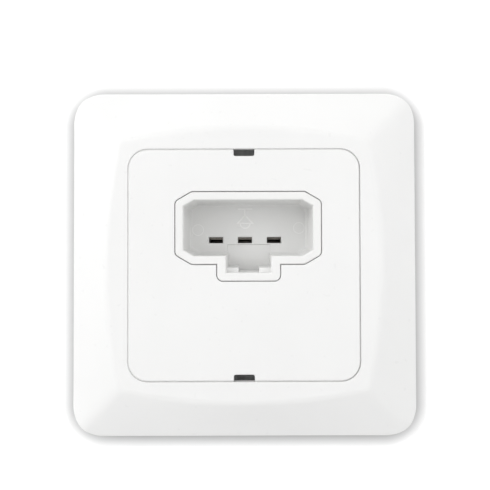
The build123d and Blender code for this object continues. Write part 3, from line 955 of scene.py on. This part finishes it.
@dataclass
class Fasteners:
    """All the screws."""

    flange_r: float = 1.45 * MM
    base_r: float = 1.3 * MM
    clamp_r: float = 1.6 * MM
    machine_pitch: float = 0.6 * MM
    tapping_pitch: float = 1.0 * MM

    def build(self, finishes: Finishes) -> None:
        """Makes each screw.

        Args:
            finishes: The materials.
        """
        for side in ("left", "right"):
            Screw(f"flange_screw_{side}", self.flange_r, self.machine_pitch).build(finishes)
            Screw(f"base_screw_{side}", self.base_r, self.tapping_pitch).build(finishes)
        for pole in Pole:
            Screw(f"terminal_screw_{pole.value}", self.clamp_r, self.machine_pitch).build(finishes)


@dataclass(frozen=True)
class BackdropPaint:
    """Pale paint that is seen from one side only and lit a little from behind, with a painted shade: the
    paint darkens close to the part's outline as a painted contact shadow.
    """

    name: str
    tone: float
    cloud_scale: float = 6.0
    cloud_tone: float = 0.99
    glow: float = 0.0
    shade: float = 0.0
    shade_reach: float = 4.9 * MM
    shade_half: float = 42.75 * MM
    shade_corner_r: float = 7.5 * MM
    shade_centre: tuple[float, float, float] = (0.0, 0.0, -0.45 * MM)

    def _distance(self, board: NodeBoard, place: bpy.types.NodeSocket) -> bpy.types.NodeSocket:
        """Distance of a point of the wall from the outline of the part.

        Args:
            board: The material's nodes.
            place: The point.

        Returns:
            The distance.
        """
        straight = self.shade_half - self.shade_corner_r
        centred = board.add("VectorMath", {0: place, 1: self.shade_centre}, operation="SUBTRACT").outputs[0]
        folded = board.add("VectorMath", {0: centred}, operation="ABSOLUTE").outputs[0]
        past = board.add("VectorMath", {0: folded, 1: (straight, 1.0, straight)}, operation="SUBTRACT")
        outside = board.add("VectorMath", {0: past.outputs[0], 1: (0.0, 0.0, 0.0)},
                            operation="MAXIMUM").outputs[0]
        length = board.add("VectorMath", {0: outside}, operation="LENGTH").outputs["Value"]
        return board.math("SUBTRACT", length, self.shade_corner_r)

    def material(self) -> bpy.types.Material:
        """Builds the material.

        Returns:
            The material.
        """
        made = bpy.data.materials.new(self.name)
        made.use_nodes = True
        board = NodeBoard(made.node_tree)
        place = board.add("TexCoord").outputs["Object"]
        cloud = board.noise(place, self.cloud_scale, detail=2.0)
        level = board.span(cloud, Effects.NOISE_LOW, Effects.NOISE_HIGH, self.cloud_tone, 1.0)
        # Painted shadow: the paint's colour, glow included, darkens within shade_reach of the part's outline,
        # shifted down by shade_centre so it is deeper below the part.
        if self.shade:
            painted_contact_shade = board.span(self._distance(board, place), 0.0, self.shade_reach, 1.0 - self.shade, 1.0)
            level = board.math("MULTIPLY", level, painted_contact_shade)
        colour = board.add("CombineColor", {0: level, 1: level, 2: level}).outputs[0]
        paint = board.add("BsdfDiffuse", {"Color": board.scaled(colour, self.tone)}).outputs[0]
        glow = board.add("Emission", {"Color": board.scaled(colour, self.glow)}).outputs[0]
        both = board.add("AddShader", {0: paint, 1: glow}).outputs[0]
        clear = board.add("BsdfTransparent").outputs[0]
        behind = board.add("NewGeometry").outputs["Backfacing"]
        mixed = board.add("MixShader", {0: behind, 1: both, 2: clear}).outputs[0]
        board.add("OutputMaterial", {"Surface": mixed})
        return made


@dataclass(frozen=True)
class SoftLight:
    """Soft square light that looks at the part, with its power in watts."""

    name: str
    place: tuple[float, float, float]
    size: float
    power: float

    def build(self) -> None:
        """Makes the light."""
        data = bpy.data.lights.new(self.name, "AREA")
        data.size = self.size
        data.energy = self.power
        made = bpy.data.objects.new(self.name, data)
        made.location = self.place
        made.rotation_euler = (-Vector(self.place)).to_track_quat("-Z", "Y").to_euler()
        made.visible_camera = False
        bpy.context.scene.collection.objects.link(made)


@dataclass
class Studio:
    """White wall, pale floor, soft lights and the camera, whose pitch and roll are in degrees."""

    camera_place: tuple[float, float, float] = (2.18 * MM, -133.5 * MM, 6.07 * MM)
    pitch_up: float = 0.95
    roll: float = 0.15
    lens: float = 38.41
    sensor: float = 36.0
    nearest: float = 1.0 * MM
    shift_x: float = -0.0167
    shift_y: float = -0.0288
    wall_y: float = 1.0 * MM
    lip_y: float = 0.05 * MM
    wall_spread: float = 10.0
    # The wall's paint carries a painted shadow round the part.
    wall_paint: BackdropPaint = BackdropPaint("wall_paint", 0.9, glow=0.32, shade=0.67)
    floor_paint: BackdropPaint = BackdropPaint("floor_paint", 0.66)
    opening_half: float = 42.4 * MM
    opening_corner_r: float = 7.4 * MM
    corner_steps: int = 8
    floor_half: float = 800 * MM
    floor_z: float = -62.5 * MM
    sky: float = 0.75
    sky_tilt: tuple[float, float, float] = (-0.07, -0.2, 0.26)
    lights: tuple[SoftLight, ...] = (
        SoftLight("key_light", (-0.66, -0.5, 0.3), 0.5, 2.5),
        SoftLight("fill_light", (0.6, -0.6, 0.1), 0.6, 1.3),
        SoftLight("rear_light", (-0.4, 0.6, 0.5), 0.5, 2.0),
    )

    def camera(self) -> None:
        """Makes the camera."""
        data = bpy.data.cameras.new("camera")
        data.lens = self.lens
        data.sensor_width = self.sensor
        data.shift_x = self.shift_x
        data.shift_y = self.shift_y
        data.clip_start = self.nearest
        made = bpy.data.objects.new("camera", data)
        made.location = self.camera_place
        made.rotation_euler = (radians(90 + self.pitch_up), radians(self.roll), 0)
        bpy.context.scene.collection.objects.link(made)
        bpy.context.scene.camera = made

    def stage_piece(self, name: str, shape: bmesh.types.BMesh, paint: bpy.types.Material) -> None:
        """Adds a piece of the stage.

        Args:
            name: Its name.
            shape: Its mesh, which is used up.
            paint: Its material.
        """
        as_object(name, shape, paint)

    def wall(self) -> None:
        """Makes the wall, a hair behind the part.

        The wall is open behind the cover frame, so that the back is lit as on a bench. A lip round the
        opening runs forward to the frame and keeps that light out of the gap between frame and wall.
        """
        straight = self.opening_half - self.opening_corner_r
        outline = []
        for i, (x, z) in enumerate(((straight, straight), (-straight, straight), (-straight, -straight),
                                    (straight, -straight))):
            outline += arc((x, z), self.opening_corner_r, 90 * i, 90 * (i + 1), self.corner_steps)
        shape = bmesh.new()
        rings = []
        for y, spread in ((self.lip_y, 1.0), (self.wall_y, 1.0), (self.wall_y, self.wall_spread)):
            rings.append([Vector((x * spread, y, z * spread)) for x, z in reversed(outline)])
        loft_rings(shape, rings)
        self.stage_piece("wall", shape, self.wall_paint.material())

    def floor(self) -> None:
        """Makes the floor."""
        shape = bmesh.new()
        half = self.floor_half
        corners = [(-half, -half), (half, -half), (half, half), (-half, half)]
        shape.faces.new([shape.verts.new((x, y, self.floor_z)) for x, y in corners])
        self.stage_piece("floor", shape, self.floor_paint.material())

    def dome(self) -> None:
        """Makes the white sky, which is brighter above, in front and to the left."""
        world = bpy.data.worlds.new("studio_sky")
        world.use_nodes = True
        board = NodeBoard(world.node_tree)
        way = board.add("TexCoord").outputs["Generated"]
        tilt = board.add("VectorMath", {0: way, 1: self.sky_tilt}, operation="DOT_PRODUCT").outputs["Value"]
        strength = board.math("MULTIPLY", board.math("ADD", tilt, 1.0), self.sky)
        sky = board.add("Background", {"Color": (1.0, 1.0, 1.0, 1.0), "Strength": strength})
        board.add("OutputWorld", {"Surface": sky.outputs[0]})
        bpy.context.scene.world = world

    def build(self) -> None:
        """Sets up the whole studio."""
        self.camera()
        self.wall()
        self.floor()
        for light in self.lights:
            light.build()
        self.dome()
        bpy.context.scene.view_settings.view_transform = "Standard"
        log.info("studio ready")


def main() -> None:
    """Builds the studio and dresses the part, sub-assembly by sub-assembly."""
    logging.basicConfig(level=logging.INFO, format="%(name)s: %(message)s")
    Studio().build()
    finishes = Finishes(Effects())
    for assembly in (CoverSet(), Housing(), SupportSheet(), Terminals(), TerminalBase(), Fasteners()):
        assembly.build(finishes)


if __name__ == "__main__":
    main()
